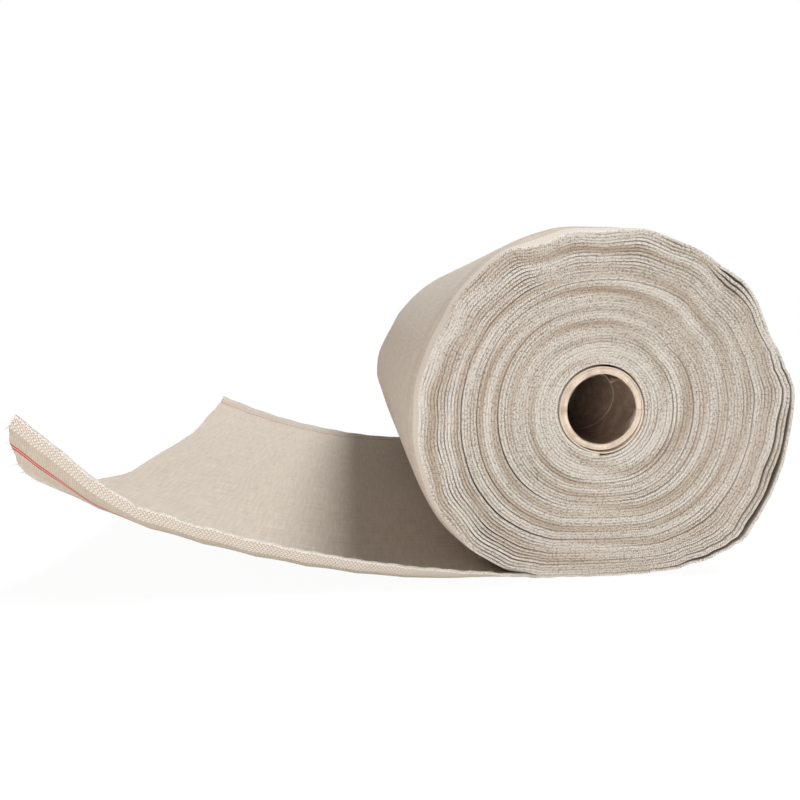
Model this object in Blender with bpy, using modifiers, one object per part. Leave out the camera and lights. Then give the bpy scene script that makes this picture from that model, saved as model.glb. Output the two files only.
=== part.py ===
"""Heavy linen proving cloth for dough, wound on a cardboard core with one length laid out.

The cloth is one long strip. It is wound in a spiral that has sagged a little under its own
weight, leaves the roll at the bottom and lies on the table to the left, where its cut end lifts.

Frame: metres, +Z up. The core runs along Y. The origin is on the table, straight below the
core's axis, at the middle of the cloth's width. The laid length goes towards -X.
"""
from math import cos, exp, pi, radians, sin

import bmesh
import bpy

# Cloth
CLOTH_WIDTH = 0.600
CLOTH_THICKNESS = 0.0016
TURNS = 45
PIECE_GAP = 0.0004

# Core tube: three bonded layers of card, 5 mm in all
CORE_LENGTH = 0.602
CORE_BORE_RADIUS = 0.0254
SKIN_THICKNESS = 0.0006
CARD_GAP = 0.0003
WALL_THICKNESS = 0.0032
CORE_SIDES = 64
CORE_CLEARANCE = 0.0010

# Sagged outline of the wound roll, measured from the core's axis: a mean radius, and for each
# harmonic its order, its height and the direction that it bulges towards, in degrees
CORE_HEIGHT = 0.1245
MEAN_RADIUS = 0.1327
SAG_HARMONICS = ((1, 0.0051, -51.0), (2, 0.0043, -8.0), (3, 0.0040, -28.0), (4, 0.0021, -41.0))
FLAT_ANGLE = radians(14)

# How far the outermost turn stands out beyond that outline, at its stretched near selvedge and
# along its fuller body, as direction in degrees and height in metres
EDGE_WAVES = (
    (0, 0.0070), (6, 0.0090), (9, 0.0080), (13, 0.0055), (17, 0.0045), (22, 0.0015), (28, 0.0035),
    (34, 0.0055), (41, 0.0070), (46, 0.0050), (51, 0.0025), (68, 0.0020), (77, 0.0025), (84, 0.0005),
    (92, 0.0), (111, 0.0), (116, 0.0005), (122, 0.0050), (130, 0.0040), (143, 0.0035),
    (153, 0.0005), (160, 0.0010), (172, 0.0035), (180, 0.0010), (190, 0.0010), (202, 0.0),
    (212, 0.0015), (221, 0.0005), (228, 0.0035), (239, 0.0030), (250, 0.0), (290, 0.0),
    (300, 0.0005), (309, 0.0030), (315, 0.0045), (319, 0.0065), (324, 0.0040), (332, 0.0020),
    (341, 0.0020), (350, 0.0030),
)
BODY_SWELL = (
    (0, 0.0075), (30, 0.0075), (60, 0.0060), (90, 0.0060), (105, 0.0070), (145, 0.0075),
    (160, 0.0085), (172, 0.0100), (190, 0.0095), (205, 0.0085), (220, 0.0095), (235, 0.0085),
    (246, 0.0020), (255, 0.0), (290, 0.0), (300, 0.0025), (315, 0.0040), (330, 0.0025), (345, 0.0035),
)
FLARE_REACH = 0.032
WAVE_TURNS = 2

# Far selvedge: how far it draws in below the body, the number of places round the roll where it
# does, and the direction of one of them
FAR_TUCK = 0.012
FAR_WAVES = 4
FAR_WAVE_DIRECTION = radians(143)

# Stretches of the tightly wound cloth, by the number of turns back from the bottom of the roll
TIGHT_STRETCHES = (
    ("cloth_outer_turns", WAVE_TURNS, 13),
    ("cloth_middle_turns", 13, 24),
    ("cloth_inner_turns", 24, 35),
    ("cloth_first_turns", 35, TURNS),
)

# Steps in one turn of the tightly wound cloth and of the loose outer turns
TIGHT_STEPS = 18
LOOSE_STEPS = 72

# Laid length: where it leaves the roll, where it starts to flex, and where it ends
TOUCH_X = -0.045
HINGE_X = -0.100
HINGE_GAP = 0.0012
NEAR_END_X = -0.388
FAR_END_X = -0.375
CORNER_REACH = 0.019
CORNER_WIDTH = 0.056
CORNER_POWER = 0.7

# Sideways drift of the laid length towards its near selvedge: close to the roll, and what is
# added at the cut end
DRIFT = 0.0153
END_DRIFT = 0.0157
END_DRIFT_RUN = 0.280
END_DRIFT_POWER = 1.7

# Lift of the laid length above the table at the near selvedge, along the middle and at the
# far selvedge: start, run, height reached after that run, and power
NEAR_LIFT = (0.100, 0.279, 0.0790, 1.84)
MIDDLE_LIFT = (0.110, 0.255, 0.0405, 1.60)
FAR_LIFT = (0.100, 0.270, 0.0635, 2.03)
LIFT_WIDTH = 0.200
NEAR_LIFT_FADE = 1.2
FAR_LIFT_FADE = 1.1

# Upward curl of the near selvedge: the width that bends, how steep it gets, and the straight
# flap beyond the bend that stands up at the corner
BEND_WIDTH = 0.022
CURL_TILT = radians(80)
CURL_GROWTH = 0.060
FLAP_X = 0.323
FLAP_RUN = 0.070
FLAP_WIDTH = 0.0215
FLAP_POWER = 1.5
CURL_STEPS = 16

# Distances in from the near selvedge at which the sheets have a row of points
TIGHT_ROWS = (0.0, CLOTH_WIDTH)
LOOSE_ROWS = (0.0, 0.008, 0.016, 0.024, 0.032, 0.568, 0.584, CLOTH_WIDTH)
FLAT_ROWS = (0.0, 0.004, 0.008, 0.012, 0.016, 0.020, 0.024, CLOTH_WIDTH)
LAID_ROWS = (
    0.0, 0.008, 0.016, 0.024, 0.036, 0.060, 0.100, 0.150, 0.200, 0.300, 0.400,
    0.460, 0.520, 0.560, 0.580, CLOTH_WIDTH,
)
LAID_STEPS = 26
FLAT_RUN_STEPS = 8

NEAR_Y = -CLOTH_WIDTH / 2
CORE_RADIUS = CORE_BORE_RADIUS + 2 * SKIN_THICKNESS + 2 * CARD_GAP + WALL_THICKNESS
FIRST_TURN_RADIUS = CORE_RADIUS + CORE_CLEARANCE + CLOTH_THICKNESS / 2
WHOLE_SPIRAL = 2 * pi * TURNS
LOOSE_SPIRAL = 2 * pi * WAVE_TURNS


def clear_scene():
    """Remove every object that the scene starts with."""
    for item in list(bpy.data.objects):
        bpy.data.objects.remove(item, do_unlink=True)


def make_material(name, colour, roughness):
    """Return a plain non-metal material."""
    material = bpy.data.materials.new(name)
    material.use_nodes = True
    shader = material.node_tree.nodes["Principled BSDF"]
    shader.inputs["Base Color"].default_value = (*colour, 1.0)
    shader.inputs["Roughness"].default_value = roughness
    shader.inputs["Metallic"].default_value = 0.0
    return material


def round_value(angle, table):
    """Value in one direction of a table round the roll, with a smooth rise and fall between."""
    degrees = (angle * 180 / pi) % 360
    closed = table + ((table[0][0] + 360, table[0][1]),)
    for (start, low), (end, high) in zip(closed, closed[1:]):
        if start <= degrees <= end:
            share = (1 - cos(pi * (degrees - start) / (end - start))) / 2
            return low + (high - low) * share
    return 0.0


def edge_share(distance):
    """Share of an edge's own shape that is left at a distance in from that edge."""
    share = max(0.0, 1 - distance / FLARE_REACH)
    return share * share * (3 - 2 * share)


def outer_shift(angle, depth):
    """Height of the outermost turn above the plain outline, in one direction and at one depth."""
    body = round_value(angle, BODY_SWELL)
    near = round_value(angle, EDGE_WAVES)
    far = max(0.0, body - FAR_TUCK * (0.5 + 0.5 * cos(FAR_WAVES * (angle - FAR_WAVE_DIRECTION))))
    near_share = edge_share(depth)
    far_share = edge_share(CLOTH_WIDTH - depth)
    return near_share * near + far_share * far + (1 - near_share - far_share) * body


def roll_outline(angle):
    """Radius of the sagged roll in one direction, flattened where it stands on the table."""
    radius = MEAN_RADIUS
    for order, height, direction in SAG_HARMONICS:
        radius += height * cos(order * (angle - radians(direction)))
    downwards = -sin(angle)
    if downwards > 0:
        radius = min(radius, CORE_HEIGHT / downwards)
    return radius


def spiral_point(turned, depth):
    """Point on the cloth's mid-thickness, by the angle wound back from the bottom of the roll."""
    angle = turned - pi / 2
    share = 1 - max(0.0, turned - FLAT_ANGLE) / (WHOLE_SPIRAL - FLAT_ANGLE)
    outside = roll_outline(angle) - CLOTH_THICKNESS / 2
    if downwards_flat(angle):
        outside = (CORE_HEIGHT - CLOTH_THICKNESS / 2) / -sin(angle)
    radius = FIRST_TURN_RADIUS + (outside - FIRST_TURN_RADIUS) * share
    looseness = max(0.0, 1 - (turned / LOOSE_SPIRAL) ** 2)
    radius += outer_shift(angle, depth) * looseness
    return (radius * cos(angle), NEAR_Y + depth, CORE_HEIGHT + radius * sin(angle))


def downwards_flat(angle):
    """Say whether the roll's outline is cut flat by the table in this direction."""
    downwards = -sin(angle)
    return downwards > 0 and roll_outline(angle) >= CORE_HEIGHT / downwards


def lift_height(distance, lift):
    """Height that one line of the laid cloth has risen to at a distance out from the roll."""
    start, run, height, power = lift
    return height * (max(0.0, distance - start) / run) ** power


def curl(depth, width, tilt):
    """Place across and height of a point where the last stretch of the cloth curls upwards."""
    if depth >= width:
        return depth, 0.0
    step = (width - depth) / CURL_STEPS
    across = 0.0
    rise = 0.0
    for index in range(CURL_STEPS):
        angle = tilt * min(1.0, (index + 0.5) * step / BEND_WIDTH)
        across += step * cos(angle)
        rise += step * sin(angle)
    return width - across, rise


def drift(distance):
    """Sideways drift of the laid length at a distance out from the roll's axis."""
    run = max(0.0, distance + TOUCH_X)
    skew = max(0.0, distance + HINGE_X) / END_DRIFT_RUN
    return DRIFT * (1 - exp(-run / CURL_GROWTH)) + END_DRIFT * skew ** END_DRIFT_POWER


def laid_point(x, depth):
    """Point on the mid-thickness of the laid length, at one x and one depth from the selvedge."""
    distance = -x
    middle = lift_height(distance, MIDDLE_LIFT)
    near_share = max(0.0, 1 - depth / LIFT_WIDTH) ** NEAR_LIFT_FADE
    far_share = max(0.0, 1 - (CLOTH_WIDTH - depth) / LIFT_WIDTH) ** FAR_LIFT_FADE
    height = middle
    height += near_share * (lift_height(distance, NEAR_LIFT) - middle)
    height += far_share * (lift_height(distance, FAR_LIFT) - middle)
    tilt = CURL_TILT * (1 - exp(-max(0.0, TOUCH_X - x) / CURL_GROWTH))
    corner = min(1.0, max(0.0, distance - FLAP_X) / FLAP_RUN)
    across, rise = curl(depth, BEND_WIDTH + FLAP_WIDTH * corner ** FLAP_POWER, tilt)
    return (x, NEAR_Y + across - drift(distance), CLOTH_THICKNESS / 2 + height + rise)


def end_x(depth):
    """Place of the slanted cut end, which reaches further at the near corner."""
    slant = NEAR_END_X + (FAR_END_X - NEAR_END_X) * depth / CLOTH_WIDTH
    return slant - CORNER_REACH * max(0.0, 1 - depth / CORNER_WIDTH) ** CORNER_POWER


def start_x(depth):
    """Place of the laid length's first edge. Where the selvedge curls up, that edge stands back
    from the hinge by the curl's height, so that it clears the flat run when it swings up."""
    return HINGE_X - (laid_point(HINGE_X, depth)[2] - CLOTH_THICKNESS / 2)


def cloth_sheet(name, columns, rows, place, material, collection):
    """Make one stretch of cloth: a grid placed by a rule, then given its thickness."""
    mesh = bpy.data.meshes.new(name)
    grid = bmesh.new()
    bmesh.ops.create_grid(grid, x_segments=columns, y_segments=len(rows) - 1, size=1.0)
    for point in grid.verts:
        column = round((point.co.x + 1) / 2 * columns)
        row = round((point.co.y + 1) / 2 * (len(rows) - 1))
        point.co = place(column / columns, rows[row])
    grid.to_mesh(mesh)
    grid.free()
    mesh.shade_smooth()
    mesh.materials.append(material)
    sheet = bpy.data.objects.new(name, mesh)
    collection.objects.link(sheet)
    solid = sheet.modifiers.new("Cloth thickness", "SOLIDIFY")
    solid.thickness = CLOTH_THICKNESS
    solid.offset = 0.0
    solid.use_even_offset = True
    return sheet


def wound_sheet(name, start, end, columns, rows, material, collection):
    """Make one stretch of the wound cloth, between two angles wound back from the bottom."""

    def place(share, depth):
        return spiral_point(start + (end - start) * share, depth)

    cloth_sheet(name, columns, rows, place, material, collection)


def make_tight_turns(material, collection):
    """Make the tightly wound turns in four stretches, from the outermost in to the core."""
    gap = PIECE_GAP / 2 / CORE_HEIGHT
    for name, outer_turn, inner_turn in TIGHT_STRETCHES:
        start = 2 * pi * outer_turn + gap
        end = 2 * pi * inner_turn - gap
        columns = TIGHT_STEPS * (inner_turn - outer_turn)
        wound_sheet(name, start, end, columns, TIGHT_ROWS, material, collection)


def make_loose_turns(material, collection):
    """Make the loosened, wavy turns on the outside of the roll."""
    end = LOOSE_SPIRAL - PIECE_GAP / 2 / CORE_HEIGHT
    columns = LOOSE_STEPS * WAVE_TURNS
    wound_sheet("cloth_loose_turns", 0.0, end, columns, LOOSE_ROWS, material, collection)


def make_flat_run(material, collection):
    """Make the flat run below the roll, from the bottom of the outermost turn to the hinge."""
    start = HINGE_X + HINGE_GAP

    def place(share, depth):
        return laid_point(start + (-PIECE_GAP - start) * share, depth)

    cloth_sheet("cloth_flat_run", FLAT_RUN_STEPS, FLAT_ROWS, place, material, collection)


def make_free_end(material, collection):
    """Make the laid length beyond the line that it flexes about, which is its origin."""

    def place(share, depth):
        start = start_x(depth)
        x, y, z = laid_point(start + (end_x(depth) - start) * share, depth)
        return (x - HINGE_X, y, z - CLOTH_THICKNESS / 2)

    sheet = cloth_sheet("cloth_free_end", LAID_STEPS, LAID_ROWS, place, material, collection)
    sheet.location = (HINGE_X, 0.0, CLOTH_THICKNESS / 2)


def make_core_layer(name, inner_radius, thickness, material, collection):
    """Make one layer of the card tube as an open cylinder with its own thickness."""
    mesh = bpy.data.meshes.new(name)
    tube = bmesh.new()
    radius = inner_radius + thickness / 2
    bmesh.ops.create_cone(
        tube, cap_ends=False, segments=CORE_SIDES, radius1=radius, radius2=radius, depth=CORE_LENGTH
    )
    tube.to_mesh(mesh)
    tube.free()
    mesh.shade_smooth()
    mesh.materials.append(material)
    layer = bpy.data.objects.new(name, mesh)
    collection.objects.link(layer)
    layer.location = (0.0, 0.0, CORE_HEIGHT)
    layer.rotation_euler = (pi / 2, 0.0, 0.0)
    solid = layer.modifiers.new("Card thickness", "SOLIDIFY")
    solid.thickness = thickness
    solid.offset = 0.0
    solid.use_even_offset = True
    return layer


def make_core(wall_material, skin_material, collection):
    """Make the card tube: its inner skin, its wall and its outer skin."""
    radius = CORE_BORE_RADIUS
    make_core_layer("core_inner_ply", radius, SKIN_THICKNESS, skin_material, collection)
    radius += SKIN_THICKNESS + CARD_GAP
    make_core_layer("core_wall", radius, WALL_THICKNESS, wall_material, collection)
    radius += WALL_THICKNESS + CARD_GAP
    make_core_layer("core_outer_ply", radius, SKIN_THICKNESS, skin_material, collection)


def main():
    """Build every piece of the roll in its own collection."""
    clear_scene()
    collection = bpy.data.collections.new("proving_cloth_roll")
    bpy.context.scene.collection.children.link(collection)
    linen = make_material("natural_linen", (0.62, 0.54, 0.45), 0.95)
    loose_linen = make_material("loose_linen", (0.68, 0.61, 0.53), 0.95)
    card = make_material("core_card", (0.60, 0.44, 0.31), 0.85)
    skin = make_material("core_skin", (0.33, 0.22, 0.15), 0.8)
    make_core(card, skin, collection)
    make_tight_turns(linen, collection)
    make_loose_turns(loose_linen, collection)
    make_flat_run(loose_linen, collection)
    make_free_end(loose_linen, collection)


main()
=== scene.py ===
"""Looks of a roll of heavy linen proving cloth on its card core, with one length laid out.

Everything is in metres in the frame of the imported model: +Z up, the core along Y, the origin on
the table below the core's axis, and the laid length towards -X. The cloth's surface is described
by the length run along it, the depth in from its near selvedge and the side of its thickness.
"""
from math import pi, radians, tau

import bpy
import numpy as np
from bpy.props import FloatProperty, FloatVectorProperty, IntProperty, PointerProperty
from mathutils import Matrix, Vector


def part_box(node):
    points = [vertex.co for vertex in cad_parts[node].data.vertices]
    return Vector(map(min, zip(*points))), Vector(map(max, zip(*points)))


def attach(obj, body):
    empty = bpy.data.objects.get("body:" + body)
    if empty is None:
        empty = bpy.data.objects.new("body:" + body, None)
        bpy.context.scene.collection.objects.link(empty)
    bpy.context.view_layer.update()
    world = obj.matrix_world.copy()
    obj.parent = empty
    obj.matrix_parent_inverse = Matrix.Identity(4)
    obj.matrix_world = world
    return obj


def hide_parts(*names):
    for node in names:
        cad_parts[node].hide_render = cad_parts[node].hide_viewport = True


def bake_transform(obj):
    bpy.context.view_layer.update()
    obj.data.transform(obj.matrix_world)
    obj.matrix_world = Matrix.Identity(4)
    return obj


bl_info = {
    "name": "Proving cloth roll",
    "version": (1, 0, 0),
    "blender": (4, 5, 0),
    "location": "3D View > Sidebar > Proving Cloth",
    "description": "Builds the finished surfaces of a roll of linen proving cloth",
    "category": "Mesh",
}

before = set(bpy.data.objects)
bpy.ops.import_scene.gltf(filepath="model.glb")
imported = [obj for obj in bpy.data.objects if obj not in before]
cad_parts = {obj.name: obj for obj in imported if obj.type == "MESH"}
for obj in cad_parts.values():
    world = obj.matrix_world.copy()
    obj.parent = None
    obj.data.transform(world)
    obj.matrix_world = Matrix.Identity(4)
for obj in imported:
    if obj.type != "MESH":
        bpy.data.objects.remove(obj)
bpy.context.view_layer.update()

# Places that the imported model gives
CORE_LOW, CORE_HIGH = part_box("core_wall")
ROLL_LOW, ROLL_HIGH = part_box("cloth_first_turns")
CORE_HEIGHT = (CORE_LOW.z + CORE_HIGH.z) / 2
CORE_WALL_RADIUS = (CORE_HIGH.z - CORE_LOW.z) / 2
CORE_NEAR_Y, CORE_FAR_Y = CORE_LOW.y, CORE_HIGH.y
NEAR_Y = ROLL_LOW.y
CLOTH_WIDTH = ROLL_HIGH.y - ROLL_LOW.y

# Sagged outline of the roll from the core's axis: mean radius, then for each harmonic its
# order, its height and the direction that it bulges towards, in degrees
MEAN_RADIUS = 0.1342
SAG_HARMONICS = ((1, 0.0068, -38.7), (2, 0.0050, -7.4), (3, 0.0030, -24.7), (4, 0.0025, -40.7))

# Outermost turn at its near edge, and the fuller body behind it: direction in degrees, radius
EDGE_OUTLINE = (
    (0, 0.1450), (6, 0.1446), (9, 0.1425), (13, 0.1391), (17, 0.1371), (22, 0.1331), (28, 0.1341),
    (34, 0.1354), (41, 0.1362), (46, 0.1340), (51, 0.1312), (58, 0.1306), (68, 0.1290),
    (77, 0.1290), (84, 0.1265), (92, 0.1246), (101, 0.1257), (111, 0.1241), (116, 0.1265),
    (122, 0.1310), (130, 0.1307), (143, 0.1302), (153, 0.1275), (160, 0.1283), (172, 0.1313),
    (180, 0.1307),
    (190, 0.1328), (202, 0.1341), (212, 0.1371), (221, 0.1363), (228, 0.1374), (239, 0.1358),
    (250, 0.1300), (262, 0.1258), (270, 0.1245), (280, 0.1262), (290, 0.1301), (300, 0.1370),
    (309, 0.1440), (315, 0.1480), (319, 0.1510), (324, 0.1493), (332, 0.1476), (341, 0.1464),
    (350, 0.1445),
)
BODY_OUTLINE = (
    (0, 0.1455), (30, 0.1375), (60, 0.1340), (90, 0.1318), (105, 0.1342), (125, 0.1345),
    (145, 0.1340), (160, 0.1350), (172, 0.1370), (190, 0.1400), (205, 0.1420), (220, 0.1435),
    (235, 0.1410), (248, 0.1330), (262, 0.1258), (270, 0.1245), (285, 0.1275), (300, 0.1390),
    (315, 0.1475), (330, 0.1480), (345, 0.1465),
)

# Outer turns that wave, and how fast the waves die away inwards; how far in from the near and the
# far edge each keeps its own outline; depth, number and direction of the far edge's tucks; deepest
# dip of any edge; number, height and turn of the fine ripples
WAVY_TURNS = 14
WAVE_FADE = 0.95
FLARE_REACH = 0.032
FAR_REACH = 0.22
FAR_TUCK = 0.012
FAR_WAVES = 4
FAR_WAVE_DIRECTION = radians(143)
DEEPEST_DIP = 0.0025
RIPPLES = 19
RIPPLE_HEIGHT = 0.0009
RIPPLE_TURN = 3.2

# Winding: steps round one turn, and places where the turns stand apart, as the number of turns in
# from the outside, the half-length in turns and the weight of the gap; how many more there are
# at random, and their half-lengths and weights; room between the core and the first turn, and
# the extra room where the core's cover is loose
STEPS = 180
STAND_OFFS = (
    (0.18, 0.15, 5.5), (1.19, 0.10, 1.8), (2.21, 0.08, 1.2), (0.02, 0.06, 1.2),
    (0.367, 0.035, 4.0), (1.367, 0.035, 3.0), (2.37, 0.03, 2.2), (3.48, 0.12, 1.1),
    (5.75, 0.30, 0.9), (12.78, 0.34, 1.5), (17.72, 0.30, 1.3), (24.76, 0.36, 1.6),
    (26.70, 0.22, 1.2),
)
RANDOM_GAPS = 20
GAP_SIZES = ((0.15, 0.5), (0.4, 1.1))
FIRST_TURN_CLEARANCE = 0.0018
LOOSE_PLY_ROOM = 0.0013
LOOSE_PLY_DIRECTION = radians(-62)
LOOSE_PLY_SPREAD = radians(48)

# Unevenness of the wound cloth: sideways shift of the turns and its waves to a turn, slack of the
# outermost one with its wave's length and the direction below which it is flat; then how far in
# from the edges the painted shade in the gaps between turns begins and is full
EDGE_SHIFT = 0.00035
SHIFT_WAVES = (0.37, 1.13)
SURFACE_SLACK = 0.0004
SLACK_LENGTH = 0.21
SLACK_BOTTOM = -0.6
PAINTED_SHADE_DEPTHS = (0.0008, 0.0030)

# Unevenness of the laid length: its ripples with their lengths along and across the cloth, the
# wobble of its lip with its lengths and its depth, and its ragged cut with its lengths
RIPPLE = 0.0009
RIPPLE_LENGTHS = (0.071, 0.193)
LIP_WOBBLE = 0.00025
WOBBLE_LENGTHS = (0.031, 0.0137)
WOBBLE_DEPTH = 0.006
CUT_RAGGED = 0.0011
CUT_LENGTHS = (0.0023, 0.0071)

# Change of tone from turn to turn: number of waves in it and the turns that one takes, and how
# much paler the outermost turns and those near the core are, and over which turns
TONE_TERMS = 16
TONE_PERIOD = (3.5, 14.0)
PALE_OUTSIDE = 1.3
PALE_TURNS = 2.6
PALE_INSIDE = 0.9
PALE_CORE_TURNS = (34.0, 39.0)

# Profile of the selvedge's rounded edge: depth from the edge and share of the half thickness;
# then the rows of points further in on the tight and on the loose turns
EDGE_ROUNDING = ((0.0, 0.0), (0.00015, 0.78), (0.0006, 1.0))
INNER_DEPTHS = (0.0040,)
OUTER_DEPTHS = (
    0.0022, 0.0045, 0.008, 0.012, 0.018, 0.026, 0.036, 0.048, 0.062, 0.085, 0.125, 0.180
)

# Laid length, with the same rules as the model's: where it touches the table, where the hinge
# lies, the two ends of the slanted cut, the reach of its near corner and, as a length, a width and
# a power, how much of that corner's tip is nipped off
TOUCH_X = -0.045
HINGE_X = -0.100
NEAR_END_X = -0.388
FAR_END_X = -0.375
CORNER_REACH = 0.0198
CORNER_WIDTH = 0.068
CORNER_NIP = (0.0082, 0.020, 1.5)

# Its sideways drift, and the rise of its near line, its middle and its far line, each as a start,
# a run, a height and a power; how far in from the edges they act, and the far edge's own rise
DRIFT = 0.0200
DRIFT_GROWTH = 0.030
END_DRIFT = 0.0125
END_DRIFT_RUN = 0.280
END_DRIFT_POWER = 1.7
NEAR_LIFT = (0.100, 0.279, 0.0755, 1.88)
MIDDLE_LIFT = (0.110, 0.255, 0.0405, 1.60)
FAR_LIFT = (0.100, 0.270, 0.0635, 2.03)
LIFT_WIDTH = 0.200
NEAR_LIFT_FADE = 1.2
FAR_LIFT_FADE = 1.1
FAR_RISE = 0.0045
FAR_RISE_WIDTH = 0.022
FAR_RISE_RUN = 0.120

# Its curled near selvedge: width and slope of the bend, how fast it curls up, and the flap that
# the bend widens to; then the stretch over which it flexes at the hinge
BEND_WIDTH = 0.028
CURL_TILT = radians(80)
CURL_GROWTH = 0.060
FLAP_X = 0.311
FLAP_RUN = 0.1134
FLAP_WIDTH = 0.0246
CURL_STEPS = 16

# Weave of the selvedge: length of one stitch, width of one row of them, rows, height, points to a
# stitch, how far each row waves as a share of its width, and how far the stitches swell
STITCH_LENGTH = 0.0028
STITCH_ROW = 0.0021
STITCH_ROWS = 5
STITCH_RELIEF = 0.00020
STITCH_COLUMNS = 4
STITCH_WAVE = 0.30
STITCH_BEAD = 0.3

# Rows of points on the laid length: their distance near the selvedge and how far in that holds,
# the wider ones behind them, and the steps of the rest up to the middle
FINE_ROW = 0.0005
FINE_WIDTH = 0.024
WIDE_ROWS = (0.026, 0.029, 0.033, 0.038, 0.044, 0.052, 0.062, 0.075, 0.09, 0.11)
BODY_ROWS = (0.13, 0.301, 0.02)

# Firm strip between the stitches and the open weave: pitch and wander of its ribs, and where it
# starts, is full, begins to fade and is gone; then the guide lines' places, width and strength
RIB_PITCH = 0.0017
RIB_WANDER = 1.6
RIB_BAND = (0.0100, 0.0112, 0.0260, 0.0400)
GUIDE_PLACES = (0.0205, 0.0221)
GUIDE_WIDTH = 0.0010
GUIDE_BEADS = 0.08
GUIDE_STRENGTH = 0.90

# Yarns: distance between them, how far they wander, and how long the swellings in them are; then
# the hatch of those wrapped round the edge: pitch, slant, wander, reach and depth of the flecks
YARN_PITCH = 0.0010
YARN_WANDER = 0.9
SLUB_STRETCH = 0.08
HATCH_PITCH = 0.0015
HATCH_SLANT = 0.42
HATCH_WANDER = 1.3
HATCH_REACH = (0.0006, 0.0014)
FLECK_DEPTH = 0.0012

# Scale of each kind of unevenness over the cloth and the card
WANDER_NOISE = 140.0
SLUB_NOISE = 430.0
RIB_NOISE = 460.0
HATCH_NOISE = 260.0
FLECK_NOISE = 700.0
FIBRE_NOISE = 900.0
BLOTCH_NOISE = 90.0

# Colours of the wound edges: pale turns, warm turns and specks between the yarns; then the painted
# shade in the deep gaps between turns, and the firm strip's grooves, whose full depth on the under
# face is painted shade
EDGE_PALE = (0.965, 0.925, 0.865)
EDGE_WARM = (0.600, 0.475, 0.360)
EDGE_SPECK = (0.260, 0.185, 0.130)
PAINTED_GAP_COLOUR = (0.080, 0.052, 0.036)
RIB_SHADE = (0.330, 0.285, 0.235)

# Strength of each shade on the cloth, and the relief at which it starts and ends
HOLLOW_SHADE = 0.30
SLUB_CONTRAST = 1.3
SLUB_SHARE = 0.50
GROOVE_SHADE = 0.45
GROOVE_RANGE = (0.0, 0.75)
# share of the firm strip's darkening kept on its upper face; the under face takes it all as painted
# shade
FACE_GROOVES = 0.25
DIP_SHADE = 0.75
DIP_RANGE = (0.20, 0.72)
STITCH_LINEN = 0.65
WARM_SHARE = 0.19
PALE_START = 0.4
PALE_SOFTNESS = 0.3
YARN_SHADE = 0.66
VALLEY_RANGE = (0.0, 0.30)
SPECK_SHADE = 0.76
FLECK_RANGE = (0.40, 0.47)
# strength of the painted shade in the gaps between turns
PAINTED_GAP_STRENGTH = 0.95

# Relief in the surface: its full height, and the share that each effect has of it
BUMP_DISTANCE = 0.0004
WEAVE_HEIGHT = 0.35
HATCH_HEIGHT = 0.6
FLECK_HEIGHT = 0.3
SLUB_HEIGHT = 0.3

# Loose threads: rings along each, how much they thin and how low they lie; then the frayed
# corner's width, the places and yarns of the tufts that stand out of the cut there, the shortest
# yarn, how lengths spread, what long ones, those at the corner and the tufts reach, the radii, the
# root that stays in the cloth, and the share of long ones
THREAD_RINGS = 6
THREAD_TAPER = 0.55
THREAD_REST = 0.0004
TUFT_WIDTH = 0.030
TUFT_PLACES = (0.003, 0.031, 0.038, 0.047, 0.054)
TUFT_YARNS = 9
SHORTEST_YARN = 0.0010
YARN_SPREAD = 0.0006
LONG_YARNS = (0.0015, 0.0035)
CORNER_YARNS = (0.0004, 0.0022)
TUFT_LENGTHS = (0.0030, 0.0050)
YARN_RADII = (0.00018, 0.00032)
YARN_ROOT = 0.0012
LONG_SHARE = 0.02

# Stray fibres on the roll's edges and on the laid cloth's lip: their number, shortest length, how
# lengths spread, radii and root in the cloth; and the way out of the near face
ROLL_FIBRES = 900
LIP_FIBRES = 260
SHORTEST_FIBRE = 0.0008
FIBRE_SPREAD = 0.0010
FIBRE_RADII = (0.00005, 0.00009)
FIBRE_ROOT = 0.0003
NEARWARDS = np.array([0.0, -1.0, 0.0])

# Card tube: steps round it, rows of points in from each end, reach and depth of the torn ends,
# the layers' thickness and the gap between them, the lift of the loose cover, and the flakes that
# peel into the bore, each as a height, a direction, a half-width and a depth
TUBE_STEPS = 240
TUBE_ROWS = (
    0.0, 0.0005, 0.0011, 0.0019, 0.003, 0.0045, 0.0065, 0.009, 0.013, 0.020, 0.035, 0.070, 0.150
)
TORN_REACH = 0.0012
TORN_WALL = 0.0007
TORN_PLY = 0.0009
LINING_THICKNESS = 0.0005
COVER_THICKNESS = 0.0011
PLY_GAP = 0.0001
LOOSE_PLY_LIFT = 0.0016
FLAKES = ((0.0036, radians(-24), radians(15), 0.010), (0.0052, radians(74), radians(9), 0.007))

# Look of the card: width of the wound paper strips and of their seams, the tube's girth, the
# spread of the layers, and the strength and range of its fibres and blotches
CARD_STRIP = 0.085
SEAM_WIDTH = 0.02
CARD_ROUND = 0.17
CARD_LAYER = 0.004
FIBRE_SHADE = 0.5
FIBRE_RANGE = (0.60, 0.72)
BLOTCH_RANGE = (0.35, 0.70)

# Unevenness of the tube's shape: number of waves in it, and how much finer each is than the last
NOISE_TERMS = 7
NOISE_GROWTH = 1.7

# Camera, at the viewing angle that shows the near face and the laid length
CAMERA_PLACE = (-0.1774, -0.7568, 0.1879)
CAMERA_TURN = (radians(90 - 6.911), 0.0, radians(-4.130))
CAMERA_LENS = 29.70
SENSOR_WIDTH = 36.0

# Floor and lights
FLOOR_SIZE = 12.0
FLOOR_DROP = 0.0006
FLOOR_GLOW = 0.90
FLOOR_WHITE = 1.06
WHITE = (1.0, 1.0, 1.0)
SUN_SIZE = radians(24)
SUN_TURN = (radians(-4), radians(27), 0.0)
SUN_COLOUR = (0.965, 1.0, 1.0)
FRONT_WIDTH = 2.4
FRONT_HEIGHT = 0.36
FRONT_COLOUR = (1.0, 0.945, 0.885)
SKY_COLOUR = (1.0, 0.945, 0.89)
FRONT_PLACE = (-1.20, -2.9, 0.20)
FRONT_AIM = (0.0, -0.3, 0.12)

# Materials by finish, once they are mixed
MATERIALS = {}


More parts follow.
